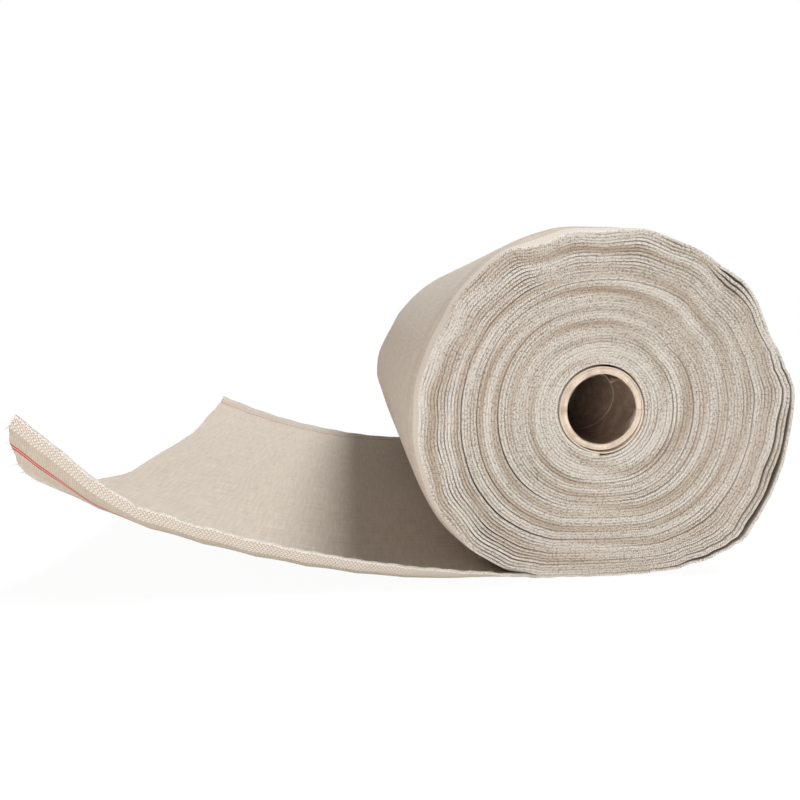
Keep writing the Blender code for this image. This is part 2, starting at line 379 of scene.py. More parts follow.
class ClothLooks(bpy.types.PropertyGroup):
    """Sizes and colours of the cloth."""

    thickness: FloatProperty(
        name="Thickness", description="Thickness of the cloth", default=0.00172, unit="LENGTH"
    )
    bead: FloatProperty(
        name="Selvedge thickness", description="Thickness of the woven selvedge",
        default=0.00205, unit="LENGTH",
    )
    turns: IntProperty(name="Turns", description="Turns wound on the core", default=45, min=12)
    linen: FloatVectorProperty(
        name="Linen", description="Colour of the cloth's body", subtype="COLOR",
        default=(0.600, 0.540, 0.480),
    )
    selvedge: FloatVectorProperty(
        name="Selvedge", description="Colour of the woven selvedge", subtype="COLOR",
        default=(0.900, 0.855, 0.795),
    )
    shaded: FloatVectorProperty(
        name="Shaded yarn", description="Colour in the gaps between yarns", subtype="COLOR",
        default=(0.310, 0.235, 0.175),
    )
    guide: FloatVectorProperty(
        name="Guide line", description="Colour of the two guide lines", subtype="COLOR",
        default=(0.430, 0.012, 0.022),
    )


class CoreLooks(bpy.types.PropertyGroup):
    """Sizes and colours of the card core."""

    bore: FloatProperty(
        name="Bore radius", description="Radius inside the tube", default=0.0248, unit="LENGTH"
    )
    card: FloatVectorProperty(
        name="Card", description="Colour of the torn card", subtype="COLOR",
        default=(0.690, 0.595, 0.500),
    )
    skin: FloatVectorProperty(
        name="Skin", description="Colour of the smooth paper skin", subtype="COLOR",
        default=(0.200, 0.130, 0.092),
    )


class StageLooks(bpy.types.PropertyGroup):
    """Floor and light."""

    floor: FloatVectorProperty(
        name="Floor", description="Colour of the floor", subtype="COLOR", default=(0.64, 0.64, 0.63)
    )
    sun: FloatProperty(name="Sun", description="Strength of the high side light", default=3.1)
    front: FloatProperty(
        name="Front light", description="Power of the soft front light", default=76.0, unit="POWER"
    )
    sky: FloatProperty(name="Sky", description="Strength of the light all round", default=0.240)


def round_values(angle, table):
    """Values in some directions of a table round the axis, with smooth slopes between them."""
    degrees = np.degrees(angle) % 360
    places = [place for place, _ in table]
    values = [value for _, value in table]
    places = np.array([places[-1] - 360] + places + [places[0] + 360], float)
    values = np.array([values[-1]] + values + [values[0]])
    index = np.clip(np.searchsorted(places, degrees) - 1, 0, len(places) - 2)
    share = (degrees - places[index]) / (places[index + 1] - places[index])
    share = (1 - np.cos(pi * share)) / 2
    return values[index] + (values[index + 1] - values[index]) * share


def roll_outline(angle):
    """Radius of the sagged roll, flattened where it stands on the table."""
    radius = np.full_like(angle, MEAN_RADIUS)
    for order, height, direction in SAG_HARMONICS:
        radius += height * np.cos(order * (angle - radians(direction)))
    downwards = np.maximum(-np.sin(angle), 1e-6)
    return np.where(np.sin(angle) < 0, np.minimum(radius, CORE_HEIGHT / downwards), radius)


def gap_weights(turned, turns, seed=11):
    """Weight of the gap outside each point of the winding, by the number of turns wound back."""
    random = np.random.default_rng(seed)
    weights = np.ones_like(turned)
    bumps = list(STAND_OFFS)
    for _ in range(RANDOM_GAPS):
        bumps.append([random.uniform(*ends) for ends in ((1, turns - 2), *GAP_SIZES)])
    for middle, half, weight in bumps:
        share = np.clip(np.abs(turned - middle) / half, 0, 1)
        weights += weight * (1 + np.cos(pi * share)) / 2
    last = turns - 1
    ends = np.clip(np.minimum(turned, last - turned) / 0.04, 0, 1)
    return 1 + (weights - 1) * ends


def wind_radii(looks):
    """Radius of the cloth's mid-thickness at every step of the winding, from the outside in."""
    turns = looks.turns
    thick = looks.thickness
    share = np.arange(STEPS) / STEPS
    angle = share * tau - pi / 2
    first = CORE_WALL_RADIUS + FIRST_TURN_CLEARANCE + thick / 2
    weights = gap_weights(np.arange((turns - 1) * STEPS + 1) / STEPS, turns)
    sums = np.array([weights[i:(turns - 1) * STEPS:STEPS].sum() for i in range(STEPS)])
    bottom = CORE_HEIGHT - thick / 2
    seam_gap = (bottom - first - turns * thick) / (sums[0] + 1)
    outermost = roll_outline(angle) - thick / 2 - (thick + seam_gap) * share
    flat = np.sin(angle) < 0
    reach = bottom / np.maximum(-np.sin(angle), 1e-6)
    outermost = np.where(flat, np.minimum(outermost, reach), outermost)
    off_axis = (angle - LOOSE_PLY_DIRECTION + pi) % tau - pi
    room = LOOSE_PLY_ROOM * np.exp(-((off_axis / LOOSE_PLY_SPREAD) ** 2))
    radii = np.empty((turns, STEPS))
    radii[-1] = first + room + (thick + seam_gap) * (1 - share)
    spare = outermost - radii[-1] - (turns - 1) * thick
    for turn in range(turns - 2, -1, -1):
        own = weights[turn * STEPS:(turn + 1) * STEPS]
        radii[turn] = radii[turn + 1] + thick + spare * own / sums
    last = np.array([first + room[0]])
    return np.concatenate([radii.ravel(), last])


def outer_shifts(looks, outermost):
    """Shift of the outermost turn at its near edge, in the middle and at its far edge."""
    share = np.arange(STEPS) / STEPS
    angle = share * tau - pi / 2
    room = looks.thickness / 2 + np.where(share > 0.5, looks.thickness, 0.0)
    table = (CORE_HEIGHT - room) / np.maximum(-np.sin(angle), 1e-6)
    near = round_values(angle, EDGE_OUTLINE) - looks.thickness / 2
    body = round_values(angle, BODY_OUTLINE) - looks.thickness / 2
    far = body - FAR_TUCK * (0.5 + 0.5 * np.cos(FAR_WAVES * (angle - FAR_WAVE_DIRECTION)))
    shifts = np.stack([near, body, far])
    shifts = np.where(np.sin(angle) < 0, np.minimum(shifts, table), shifts) - outermost
    return np.maximum(shifts, -DEEPEST_DIP)


def smooth_step(share):
    """Smooth rise from 0 to 1 while the share goes from 0 to 1."""
    share = np.clip(share, 0, 1)
    return share * share * (3 - 2 * share)


def fade(share, power):
    """Fall from 1 to 0 while the share goes from 0 to 1, quick at first where the power is high."""
    return np.maximum(0.0, 1 - share) ** power


def unit(vectors):
    """Vectors of length 1 in the same directions."""
    return vectors / np.linalg.norm(vectors, axis=-1, keepdims=True)


def flare_share(share):
    """Strength of an edge's own outline, which dies away fastest beside the edge."""
    return 1 - np.sin(pi / 2 * np.clip(share, 0, 1))


def edge_profile(depths, width, thickness, bead):
    """Closed outline across the cloth as (depth, side, half thickness), over both faces."""
    near = [(depth, share * bead / 2) for depth, share in EDGE_ROUNDING]
    for depth in depths:
        stitched = depth < STITCH_ROW * STITCH_ROWS
        near.append((depth, bead / 2 if stitched else thickness / 2))
    half = near + [(width - depth, offset) for depth, offset in reversed(near)]
    outer = [(depth, 1.0, offset) for depth, offset in half]
    inner = [(depth, -1.0, offset) for depth, offset in reversed(half[1:-1])]
    return np.array(outer + inner)


def round_points(angle, radius, y):
    """Points round the core's axis."""
    x, z = radius * np.cos(angle), CORE_HEIGHT + radius * np.sin(angle)
    return np.stack(np.broadcast_arrays(x, y, z), axis=-1)


def tube_faces(columns, ring):
    """Quads between the rings of a closed outline, with both ends capped."""
    column = np.arange(columns - 1)[:, None] * ring
    step = np.arange(ring)[None, :]
    following = (step + 1) % ring
    near, far = column + step, column + following
    return np.stack([near, far, far + ring, near + ring], axis=-1).reshape(-1, 4)


def mesh_piece(name, points, faces, caps, attributes, material):
    """Make a mesh object from points and quads, with its surface coordinates as attributes."""
    mesh = bpy.data.meshes.new(name)
    mesh.from_pydata(points.reshape(-1, 3).tolist(), [], faces.tolist() + caps)
    mesh.shade_smooth()
    for key, values in attributes.items():
        layer = mesh.attributes.new(key, "FLOAT", "POINT")
        values = np.broadcast_to(values, points.shape[:-1]).ravel()
        layer.data.foreach_set("value", values.astype(np.float32))
    mesh.materials.append(material)
    mesh.validate()
    item = bpy.data.objects.new(name, mesh)
    bpy.context.scene.collection.objects.link(item)
    return item


def strip_caps(columns, ring):
    """Faces that close both ends of a strip whose outline runs down one face and up the other."""
    caps = []
    for base, order in ((0, -1), ((columns - 1) * ring, 1)):
        for step in range(ring // 2):
            corners = (step, step + 1, ring - step - 1, (ring - step) % ring)
            caps.append([base + corner for corner in dict.fromkeys(corners)][::order])
    return caps


def stitch_relief(along, depth):
    """Height from 0 to 1 of the selvedge's stitches, whose rows wave to and fro beside the edge."""
    phase = along / STITCH_LENGTH
    row = depth / STITCH_ROW + STITCH_WAVE * np.sin(tau * phase)
    bump = 1 - STITCH_BEAD + STITCH_BEAD * np.sin(tau * (phase + 0.25) + pi * np.floor(row))
    stitch = bump * np.sqrt(np.abs(np.sin(pi * row)))
    return np.where(depth < STITCH_ROW * STITCH_ROWS, stitch, 0.0)


def ring_tone(turned, angle, seed=5):
    """Slow change in tone from turn to turn and round each turn, from about -1 to 1."""
    random = np.random.default_rng(seed)
    tone = np.zeros(np.broadcast(turned, angle).shape)
    for _ in range(TONE_TERMS):
        order = random.integers(0, 6)
        period = random.uniform(*TONE_PERIOD)
        phase = random.uniform(0, tau)
        tone += np.cos(order * angle + tau * turned / period + phase)
    outside = PALE_OUTSIDE * np.clip(1 - turned / PALE_TURNS, 0, 1)
    start, end = PALE_CORE_TURNS
    inside = PALE_INSIDE * np.clip((turned - start) / (end - start), 0, 1)
    return tone / np.sqrt(TONE_TERMS) - outside - inside


def wound_points(looks, radii, start, end, profile):
    """Points and surface coordinates of one stretch of the winding, between two steps."""
    index = np.arange(start, end + 1)
    turned = (index / STEPS)[:, None]
    angle = turned * tau - pi / 2
    depth, side, offset = profile.T
    near = flare_share(depth / FLARE_REACH)
    far = flare_share((CLOTH_WIDTH - depth) / FAR_REACH)
    loose = np.clip(1 - turned / WAVY_TURNS, 0, 1) ** WAVE_FADE
    near_shift, body_shift, far_shift = outer_shifts(looks, radii[:STEPS])[:, index % STEPS, None]
    waves = loose * (near * near_shift + far * far_shift + (1 - near - far) * body_shift)
    ripples = RIPPLE_HEIGHT * np.sin(RIPPLES * angle + 2 * np.sin(2 * angle)) * (near + far)
    ripples = ripples * turned / RIPPLE_TURN * np.exp(1 - turned / RIPPLE_TURN)
    ripples = ripples * smooth_step(5 * np.sin(angle) + 4.7)
    slack = SURFACE_SLACK * np.clip(1 - turned, 0, 1)
    slack = slack * np.sin(tau * depth / SLACK_LENGTH + 3 * angle)
    slack = slack * np.clip(depth * (CLOTH_WIDTH - depth) / 0.02, 0, 1)
    slack = slack * (np.sin(angle) > SLACK_BOTTOM)
    slow, quick = SHIFT_WAVES
    shift = np.sin(tau * turned * slow) + np.sin(tau * turned * quick + 2)
    shift = EDGE_SHIFT * np.clip(4 * turned, 0, 1) * shift
    radius = radii[index][:, None] + waves + ripples + slack + side * offset
    points = round_points(angle, radius, NEAR_Y + depth + shift)
    steps = np.hypot(np.diff(radii), tau / STEPS * radii[1:])
    along = np.concatenate([[0.0], np.cumsum(steps)])
    # Painted shade: faces covered by other turns darken from just inside the edges, where the gaps
    # are
    covered = (turned > 1) | (side < 0)
    pale, dark = PAINTED_SHADE_DEPTHS
    painted_gap_shade = smooth_step((np.minimum(depth, CLOTH_WIDTH - depth) - pale) / (dark - pale))
    attributes = {
        "along": along[index][:, None],
        "depth": depth,
        "through": side * offset / (looks.thickness / 2),
        "tone": ring_tone(turned, angle),
        "inside": covered * painted_gap_shade,
    }
    return points, attributes, along[end] - along[start]


def wind_stretch(name, looks, radii, start, end, depths, material):
    """Make one stretch of the winding, and return it with its length and its two edges."""
    profile = edge_profile(depths, CLOTH_WIDTH, looks.thickness, looks.bead)
    points, attributes, length = wound_points(looks, radii, start, end, profile)
    columns, ring = points.shape[:2]
    faces, caps = tube_faces(columns, ring), strip_caps(columns, ring)
    item = mesh_piece(name, points, faces, caps, attributes, material)
    near, far = points[:, 0], points[:, ring // 2]
    return item, length, near, far


def lift_height(distance, lift):
    """Height that one line of the laid cloth has risen to at a distance out from the roll."""
    start, run, height, power = lift
    return height * (np.maximum(0.0, distance - start) / run) ** power


def curl(depth, width, tilt):
    """Place across and height of points where the last stretch of the cloth curls upwards."""
    step = np.maximum(width - depth, 0.0) / CURL_STEPS
    across = np.zeros(np.broadcast(depth, width, tilt).shape)
    rise = np.zeros_like(across)
    for index in range(CURL_STEPS):
        angle = tilt * np.minimum(1.0, (index + 0.5) * step / BEND_WIDTH)
        across += step * np.cos(angle)
        rise += step * np.sin(angle)
    return np.where(depth < width, width - across, depth), rise


def drift(distance):
    """Sideways drift of the laid length at a distance out from the roll's axis."""
    run = np.maximum(0.0, distance + TOUCH_X)
    skew = np.maximum(0.0, distance + HINGE_X) / END_DRIFT_RUN
    return DRIFT * (1 - np.exp(-run / DRIFT_GROWTH)) + END_DRIFT * skew ** END_DRIFT_POWER


def end_x(depth):
    """Place of the slanted cut end, which reaches further at the near corner."""
    slant = NEAR_END_X + (FAR_END_X - NEAR_END_X) * depth / CLOTH_WIDTH
    nip, width, power = CORNER_NIP
    reach = CORNER_REACH * fade((depth / CORNER_WIDTH) ** 2, 1)
    return slant - reach + nip * fade(depth / width, power)


def laid_middle(x, depth, thick):
    """Points on the mid-thickness of the laid length."""
    distance, from_far = -x, CLOTH_WIDTH - depth
    middle = lift_height(distance, MIDDLE_LIFT)
    near_share = fade(depth / LIFT_WIDTH, NEAR_LIFT_FADE)
    far_share = fade(from_far / LIFT_WIDTH, FAR_LIFT_FADE)
    height = middle + near_share * (lift_height(distance, NEAR_LIFT) - middle)
    height = height + far_share * (lift_height(distance, FAR_LIFT) - middle)
    far_edge = FAR_RISE * fade(from_far / FAR_RISE_WIDTH, 2)
    height = height + far_edge * np.clip((distance + HINGE_X) / FAR_RISE_RUN, 0, 1)
    tilt = CURL_TILT * (1 - np.exp(-np.maximum(0.0, TOUCH_X - x) / CURL_GROWTH))
    bend = BEND_WIDTH + FLAP_WIDTH * smooth_step((distance - FLAP_X) / FLAP_RUN)
    across, rise = curl(depth, bend, tilt)
    ripple = RIPPLE * np.clip((distance + HINGE_X) / 0.1, 0, 1)
    lengthways, crossways = RIPPLE_LENGTHS
    ripple = ripple * np.sin(tau * distance / lengthways + 9 * depth)
    ripple = ripple * np.sin(tau * depth / crossways + 1)
    slow, quick = WOBBLE_LENGTHS
    wobble = LIP_WOBBLE * (np.sin(tau * x / slow) + np.sin(tau * x / quick + 1))
    wobble = wobble * np.exp(-depth / WOBBLE_DEPTH)
    y = NEAR_Y + across - drift(distance)
    z = thick / 2 + height + rise + np.abs(ripple) + wobble
    return np.stack(np.broadcast_arrays(x, y, z), axis=-1)


def laid_depths():
    """Distances in from the near selvedge of the rows of points between the two edges."""
    return [*np.arange(FINE_ROW * 3, FINE_WIDTH, FINE_ROW), *WIDE_ROWS, *np.arange(*BODY_ROWS)]


def lay_sheet(looks, material):
    """Make the laid length as a closed strip with stitched selvedges, from its cut end on."""
    profile = edge_profile(laid_depths(), CLOTH_WIDTH, looks.thickness, looks.bead)
    depth, side, offset = profile.T
    half = len(depth) // 2 + 1
    rows = depth[:half]
    columns = int(-FAR_END_X / STITCH_LENGTH) * STITCH_COLUMNS
    share = np.linspace(1.0, 0.0, columns + 1)[:, None]
    quick, slow = CUT_LENGTHS
    ragged = CUT_RAGGED * np.sin(rows / quick) * np.sin(rows / slow + 1)
    x = (end_x(rows) + ragged) * share
    middle = laid_middle(x, rows, looks.thickness)
    run = np.linalg.norm(np.diff(middle, axis=0), axis=2)
    along = -np.concatenate([np.cumsum(run[::-1], axis=0)[::-1], np.zeros((1, half))])
    normal = unit(np.cross(np.gradient(middle, axis=1), np.gradient(middle, axis=0)))
    pick = np.concatenate([np.arange(half), np.arange(half - 2, 0, -1)])
    nearer = np.minimum(depth, CLOTH_WIDTH - depth)
    relief = STITCH_RELIEF * stitch_relief(along[:, pick], nearer) * (nearer > EDGE_ROUNDING[-1][0])
    points = middle[:, pick] + normal[:, pick] * (side * (offset + relief))[..., None]
    attributes = {
        "along": along[:, pick],
        "depth": depth,
        "through": side * offset / (looks.thickness / 2),
        "tone": 0.4 * ring_tone(x[:, pick] * 20, depth * 15, seed=8),
        "inside": 0.0,
    }
    faces = tube_faces(columns + 1, len(depth))
    caps = strip_caps(columns + 1, len(depth))
    item = mesh_piece("laid_cloth", points, faces, caps, attributes, material)
    return item, middle, rows, float(-along[0].mean())


def scatter_threads(name, starts, directions, bends, lengths, radii, sides, material):
    """Make short loose threads as closed tapered tubes in one mesh."""
    directions = unit(directions)
    share = np.linspace(0, 1, THREAD_RINGS)[None, :, None]
    path = directions[:, None] * share + bends[:, None] * share ** 2
    path = starts[:, None] + path * lengths[:, None, None]
    path[..., 2] = np.maximum(path[..., 2], THREAD_REST)
    across = unit(np.cross(directions, np.array([0.31, 0.22, 0.92])))
    upright = np.cross(directions, across)
    turn = np.arange(sides) / sides * tau
    circle = (
        across[:, None, None] * np.cos(turn)[None, None, :, None]
        + upright[:, None, None] * np.sin(turn)[None, None, :, None]
    )
    size = radii[:, None, None, None] * (1 - THREAD_TAPER * share[..., None])
    points = path[:, :, None] + circle * size
    count = len(starts)
    base = np.arange(count) * THREAD_RINGS * sides
    faces = (tube_faces(THREAD_RINGS, sides) + base[:, None, None]).reshape(-1, 4)
    caps = []
    for first in base.tolist():
        last = first + (THREAD_RINGS - 1) * sides
        caps += [list(range(first, first + sides))[::-1], list(range(last, last + sides))]
    tone = np.random.default_rng(3).uniform(-1, 1, count)[:, None, None]
    return mesh_piece(name, points, faces, caps, {"tone": tone}, material)


def fray_cut(middle, rows, material):
    """Make the frayed yarn ends that stand out of the cut end."""
    random = np.random.default_rng(21)
    count = int(CLOTH_WIDTH / YARN_PITCH)
    tufts = np.repeat(TUFT_PLACES, TUFT_YARNS)
    tufts = np.abs(tufts + random.normal(0, 0.0006, len(tufts)))
    place = np.concatenate([tufts, np.sort(random.uniform(0.0, CLOTH_WIDTH, count))])
    tufted = np.arange(len(place)) < len(tufts)
    count = len(place)
    edge, behind = middle[0], middle[3]
    starts = np.stack([np.interp(place, rows, edge[:, axis]) for axis in range(3)], axis=1)
    inward = np.stack([np.interp(place, rows, behind[:, axis]) for axis in range(3)], axis=1)
    directions = unit(starts - inward)
    starts -= directions * YARN_ROOT
    spread = random.normal(0, 0.45, (count, 3)) * np.where(tufted, 0.5, 1.0)[:, None]
    lengths = random.gamma(2.0, YARN_SPREAD, count) + SHORTEST_YARN
    long_ones = random.random(count) < LONG_SHARE
    lengths[long_ones] += random.uniform(*LONG_YARNS, long_ones.sum())
    corner = place < TUFT_WIDTH
    lengths[corner] += random.uniform(*CORNER_YARNS, corner.sum())
    lengths[tufted] = random.uniform(*TUFT_LENGTHS, tufted.sum())
    bends = random.normal(0, 0.35, (count, 3)) - np.array([0.0, 0.0, 0.25])
    radii = random.uniform(*YARN_RADII, count)
    directions = directions + spread
    return scatter_threads("cut_end_yarns", starts, directions, bends, lengths, radii, 5, material)


def add_fibres(name, tips, outwards, count, seed, material):
    """Make stray fibres that stand off the woven edges."""
    random = np.random.default_rng(seed)
    pick = random.integers(0, len(tips), count)
    starts = tips[pick] - outwards[pick] * FIBRE_ROOT
    directions = outwards[pick] + random.normal(0, 0.9, (count, 3))
    bends = random.normal(0, 0.5, (count, 3))
    lengths = random.gamma(2.0, FIBRE_SPREAD, count) + SHORTEST_FIBRE
    radii = random.uniform(*FIBRE_RADII, count)
    return scatter_threads(name, starts, directions, bends, lengths, radii, 3, material)


def smooth_noise(seed, *coordinates):
    """Smooth seeded unevenness from about -1 to 1, as a sum of waves in any directions."""
    random = np.random.default_rng(seed)
    total = 0.0
    for term in range(NOISE_TERMS):
        phase = random.uniform(0, tau)
        for coordinate in coordinates:
            phase = phase + coordinate * random.normal(0, 1.0) * NOISE_GROWTH ** term
        total = total + np.sin(phase) / NOISE_GROWTH ** (0.7 * term)
    return total / 2


def around(angle, direction, spread):
    """Share from 0 to 1 of a bump that lies round one direction."""
    return np.exp(-(((angle - direction + pi) % tau - pi) / spread) ** 2)


def tube_piece(name, inner, outer, end_rows, bend, material):
    """Make one layer of the card tube, with rough ends, as a closed ring mesh."""
    near, far = CORE_NEAR_Y, CORE_FAR_Y
    length_rows = [near + row for row in TUBE_ROWS] + [far - row for row in reversed(TUBE_ROWS)]
    across = np.linspace(0, 1, end_rows)
    profile = [(outer, y) for y in length_rows]
    profile += [(outer + (inner - outer) * share, far) for share in across[1:-1]]
    profile += [(inner, y) for y in reversed(length_rows)]
    profile += [(inner + (outer - inner) * share, near) for share in across[1:-1]]
    radius, y = np.array(profile).T
    angle = (np.arange(TUBE_STEPS) / TUBE_STEPS * tau)[:, None]
    radius, place = bend(angle, radius[None, :], y[None, :])
    points = round_points(angle, radius, place)
    columns, ring = points.shape[:2]
    wrapped = tube_faces(columns + 1, ring) % (columns * ring)
    layer = (radius - inner) / (outer - inner)
    attributes = {"along": y - near, "round": angle / tau, "layer": layer}
    return mesh_piece(name, points, wrapped, [], attributes, material)


def torn_ends(angle, radius, y, depth, seed):
    """Shift along the core of the rough cut ends."""
    near = np.exp(-(y - CORE_NEAR_Y) / TORN_REACH)
    far = np.exp(-(CORE_FAR_Y - y) / TORN_REACH)
    rough = smooth_noise(seed, 14 * angle / 6, 900 * radius) * depth
    return near * rough - far * rough


def bend_wall(angle, radius, y):
    """Place of the wall's points: round, with rough ends whose plies have opened a little."""
    swell = 0.0002 * smooth_noise(31, 3 * np.cos(angle), 3 * np.sin(angle), 20 * y)
    return radius + swell, y + torn_ends(angle, radius, y, TORN_WALL, 4)


def bend_lining(angle, radius, y):
    """Place of the lining's points: two flakes have peeled off into the bore at the near end."""
    lifted = sum(
        height * around(angle, direction, width) * np.exp(-(y - CORE_NEAR_Y) / reach)
        for height, direction, width, reach in FLAKES
    )
    return radius - lifted, y + torn_ends(angle, radius, y, TORN_PLY, 12) - 0.25 * lifted


def bend_cover(angle, radius, y):
    """Place of the cover's points: it has come away from the wall along the lower right."""
    depth = np.minimum(y - CORE_NEAR_Y, CORE_FAR_Y - y)
    away = around(angle, LOOSE_PLY_DIRECTION, LOOSE_PLY_SPREAD)
    away = away * (0.45 + 0.55 * np.exp(-depth / 0.05))
    wavy = 1 + 0.15 * smooth_noise(17, 5 * angle)
    ends = torn_ends(angle, radius, y, TORN_PLY, 23)
    return radius + LOOSE_PLY_LIFT * away * wavy, y + ends


class Value:
    """A number or colour that changes over the surface; sums on it become Math nodes."""

    def __init__(self, socket):
        self.socket = socket

    def calc(self, operation, *others):
        """Add a Math node that starts from this value, and return its result."""
        step = self.socket.id_data.nodes.new("ShaderNodeMath")
        step.operation = operation
        for socket, value in zip(step.inputs, (self, *others)):
            feed(socket, value)
        return Value(step.outputs[0])

    def __add__(self, other):
        return self.calc("ADD", other)

    def __sub__(self, other):
        return self.calc("SUBTRACT", other)

    def __rsub__(self, other):
        return self.calc("MULTIPLY_ADD", -1.0, other)

    def __mul__(self, other):
        return self.calc("MULTIPLY", other)

    def __truediv__(self, other):
        return self.calc("DIVIDE", other)

    def clamped(self):
        """Keep the sum that this value is between 0 and 1."""
        self.socket.node.use_clamp = True
        return self

    def spread(self, low, high):
        """Smooth rise from 0 to 1 while this value goes from low to high."""
        ramp = self.socket.id_data.nodes.new("ShaderNodeMapRange")
        ramp.interpolation_type = "SMOOTHSTEP"
        for socket, value in zip(ramp.inputs, (self, low, high, 0.0, 1.0)):
            feed(socket, value)
        return Value(ramp.outputs[0])


def feed(socket, value):
    """Give a node's input a fixed number or colour, or join one that changes over the surface."""
    if isinstance(value, Value):
        socket.id_data.links.new(value.socket, socket)
    elif socket.type == "RGBA":
        socket.default_value = (*value, 1.0)
    else:
        socket.default_value = value


def blend_colours(tree, share, low, high, mode="MIX"):
    """Add a colour Mix node and return its result."""
    mix = tree.nodes.new("ShaderNodeMix")
    mix.data_type = "RGBA"
    mix.blend_type = mode
    for socket, value in zip((mix.inputs[0], mix.inputs[6], mix.inputs[7]), (share, low, high)):
        feed(socket, value)
    return Value(mix.outputs[2])


def surface_values(tree, *names):
    """Return some of the mesh's own surface coordinates."""
    values = []
    for name in names:
        source = tree.nodes.new("ShaderNodeAttribute")
        source.attribute_name = name
        values.append(Value(source.outputs["Fac"]))
    return values


def flat_noise(first, second, scale, detail=2.0):
    """Noise over two surface coordinates."""
    tree = first.socket.id_data
    place = tree.nodes.new("ShaderNodeCombineXYZ")
    feed(place.inputs[0], first)
    feed(place.inputs[1], second)
    noise = tree.nodes.new("ShaderNodeTexNoise")
    noise.inputs["Scale"].default_value = scale
    noise.inputs["Detail"].default_value = detail
    tree.links.new(place.outputs[0], noise.inputs["Vector"])
    return Value(noise.outputs["Fac"])


def plain_weave(along, depth, pitch):
    """Relief of a plain weave whose yarns wander and swell a little."""
    wander = flat_noise(along, depth, WANDER_NOISE) * YARN_WANDER
    warp = ((along / pitch + wander) * pi).calc("SINE")
    weft = ((depth / pitch - wander) * pi).calc("SINE")
    slubs = flat_noise(along * SLUB_STRETCH, depth, SLUB_NOISE)
    slubs = slubs + flat_noise(along, depth * SLUB_STRETCH, SLUB_NOISE)
    return (warp * weft).calc("ABSOLUTE").calc("SQRT"), slubs - 1.0


def selvedge_stitches(along, from_edge):
    """Waving rows of stitches beside the edge, and how much of the surface they take."""
    phase = along / (STITCH_LENGTH / tau)
    row = from_edge / STITCH_ROW + phase.calc("SINE") * STITCH_WAVE
    step = phase + pi / 2 + row.calc("FLOOR") * pi
    wave = step.calc("SINE") * STITCH_BEAD + (1 - STITCH_BEAD)
    arch = (row * pi).calc("SINE").calc("ABSOLUTE").calc("SQRT")
    reach = STITCH_ROW * STITCH_ROWS
    band = 1.0 - from_edge.spread(reach * 0.94, reach * 1.06)
    return wave * arch * band, band


def selvedge_ribs(along, from_edge):
    """Fine ribs of the firm strip between the stitches and the open weave."""
    phase = along / RIB_PITCH + flat_noise(along, from_edge, RIB_NOISE) * RIB_WANDER
    start, full, end, gone = RIB_BAND
    band = (from_edge.spread(start, full) - from_edge.spread(end, gone)).clamped()
    return (phase * pi).calc("SINE").calc("ABSOLUTE"), band


def guide_lines(along, from_edge):
    """The two fine coloured lines that run beside the selvedge."""
    first, second = (
        1.0 - (from_edge - place).calc("ABSOLUTE").spread(GUIDE_WIDTH * 0.35, GUIDE_WIDTH * 0.65)
        for place in GUIDE_PLACES
    )
    beads = (along * (tau / YARN_PITCH / 2)).calc("SINE")
    return (first.calc("MAXIMUM", second) * (beads * GUIDE_BEADS + GUIDE_STRENGTH),)


def edge_hatch(along, through, from_edge):
    """Slanted yarns wrapped round the thin edge, the part of the surface they take, and flecks."""
    jitter = flat_noise(along, through, HATCH_NOISE)
    phase = along / HATCH_PITCH + through * HATCH_SLANT + jitter * HATCH_WANDER
    wave = (phase * tau).calc("SINE") * 0.5 + 0.5
    edge = 1.0 - from_edge.spread(*HATCH_REACH)
    return wave * edge, edge, flat_noise(along, through * FLECK_DEPTH, FLECK_NOISE, 3.0)


def card_fibres(along, turned, layer):
    """Pressed fibres, blotches and the spiral seams of wound card."""
    across = turned * CARD_ROUND
    fine = flat_noise(layer * CARD_LAYER + along, across, FIBRE_NOISE, 4.0)
    seam = (along / CARD_STRIP + turned).calc("FRACT") - 0.5
    seam = 1.0 - seam.calc("ABSOLUTE").spread(0.0, SEAM_WIDTH)
    return fine - seam * 0.5, flat_noise(along, across, BLOTCH_NOISE, 3.0), seam


# Shared effects as node groups: how each is worked out, and its inputs and results
EFFECTS = (
    (plain_weave, ("Along", "Depth", "Pitch"), ("Relief", "Slub")),
    (selvedge_stitches, ("Along", "From Edge"), ("Relief", "Band")),
    (selvedge_ribs, ("Along", "From Edge"), ("Relief", "Band")),
    (guide_lines, ("Along", "From Edge"), ("Mask",)),
    (edge_hatch, ("Along", "Through", "From Edge"), ("Relief", "Edge", "Fleck")),
    (card_fibres, ("Along", "Round", "Layer"), ("Relief", "Fleck", "Seam")),
)


def build_group(effect, inputs, results):
    """Make one effect's node group, with named inputs and results."""
    tree = bpy.data.node_groups.new(effect.__name__, "ShaderNodeTree")
    for labels, way in ((inputs, "INPUT"), (results, "OUTPUT")):
        for label in labels:
            tree.interface.new_socket(label, in_out=way, socket_type="NodeSocketFloat")
    given = tree.nodes.new("NodeGroupInput").outputs
    ends = tree.nodes.new("NodeGroupOutput").inputs
    for label, value in zip(results, effect(*(Value(given[label]) for label in inputs))):
        feed(ends[label], value)
    return tree


def use_group(tree, effect, **values):
    """Place an effect's node group in a material and return its results by name."""
    node = tree.nodes.new("ShaderNodeGroup")
    node.node_tree = bpy.data.node_groups[effect.__name__]
    for label, value in values.items():
        feed(node.inputs[label.replace("_", " ")], value)
    return {socket.name: Value(socket) for socket in node.outputs}


def new_material(name, roughness):
    """Start a material and return it with its tree and its surface shader."""
    material = bpy.data.materials.new(name)
    material.use_nodes = True
    shader = material.node_tree.nodes["Principled BSDF"]
    shader.inputs["Roughness"].default_value = roughness
    shader.inputs["Specular IOR Level"].default_value = 0.25
    return material, material.node_tree, shader


def add_bump(tree, shader, height):
    """Join a height to the shader's normal."""
    bump = tree.nodes.new("ShaderNodeBump")
    bump.inputs["Distance"].default_value = BUMP_DISTANCE
    feed(bump.inputs["Height"], height)
    tree.links.new(bump.outputs["Normal"], shader.inputs["Normal"])


